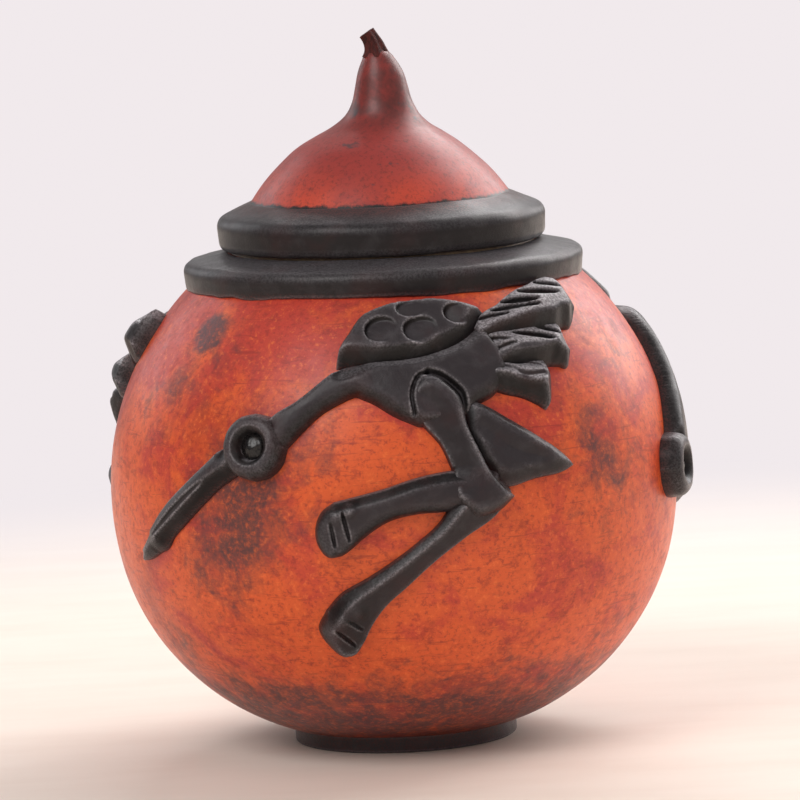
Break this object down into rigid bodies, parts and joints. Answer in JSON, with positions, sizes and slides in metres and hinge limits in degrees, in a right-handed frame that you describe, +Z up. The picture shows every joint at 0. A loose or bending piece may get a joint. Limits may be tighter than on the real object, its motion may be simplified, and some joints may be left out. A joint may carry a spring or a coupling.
{
  "type": "carved gourd box",
  "caption": "Round lidded gourd box on a low foot ring, with black bands round mouth and lid and long-beaked wading birds in black relief; the lid lifts off.",
  "frame": {"origin": "centre of the foot ring's resting plane", "axes": "+Z up along the gourd's axis, the front bird faces -Y, its beak points to -X"},
  "size_m": [0.1767, 0.1803, 0.2144],
  "materials": {
    "gourd_skin": "dyed gourd skin, mottled orange-red with smoky brown patches, waxed to a soft sheen",
    "lid_skin": "dyed gourd skin, deeper crimson, darker towards the neck, waxed to a soft sheen",
    "black_band": "hand-smoothed band, painted satin black, rubbed grey on its edges",
    "black_relief": "hand-cut relief, painted satin black, rubbed grey on its ridges",
    "black_eye": "small smooth ball, painted satin black",
    "stem_bark": "dry ribbed stem stub, dark red-brown"
  },
  "bodies": {
    "bowl": {"gourd_bowl": "gourd_skin", "mouth_ring": "black_band", "foot_ring": "black_band", "front_bird_torso": "black_relief", "front_bird_wing": "black_relief", "front_bird_neck": "black_relief", "front_bird_head": "black_relief", "front_bird_eye": "black_eye", "front_bird_beak": "black_relief", "front_bird_tail_feather_top": "black_relief", "front_bird_tail_feather_middle": "black_relief", "front_bird_tail_feather_bottom": "black_relief", "front_bird_near_leg": "black_relief", "front_bird_far_thigh": "black_relief", "front_bird_far_shank": "black_relief", "right_bird_torso": "black_relief", "right_bird_wing": "black_relief", "right_bird_neck": "black_relief", "right_bird_head": "black_relief", "right_bird_eye": "black_eye", "right_bird_beak": "black_relief", "right_bird_tail_feather_top": "black_relief", "right_bird_tail_feather_middle": "black_relief", "right_bird_tail_feather_bottom": "black_relief", "right_bird_near_leg": "black_relief", "right_bird_far_thigh": "black_relief", "right_bird_far_shank": "black_relief", "left_bird_torso": "black_relief", "left_bird_wing": "black_relief", "left_bird_neck": "black_relief", "left_bird_head": "black_relief", "left_bird_eye": "black_eye", "left_bird_beak": "black_relief", "left_bird_tail_feather_top": "black_relief", "left_bird_tail_feather_middle": "black_relief", "left_bird_tail_feather_bottom": "black_relief", "left_bird_near_leg": "black_relief", "left_bird_far_thigh": "black_relief", "left_bird_far_shank": "black_relief"},
    "lid": {"lid_dome": "lid_skin", "lid_ring": "black_band", "lid_stem": "stem_bark"}
  },
  "joints": [
    {"name": "lid_lift", "type": "slide", "parent": "bowl", "child": "lid", "axis": [0, 0, 1], "range_m": [0, 0.09]}
  ]
}
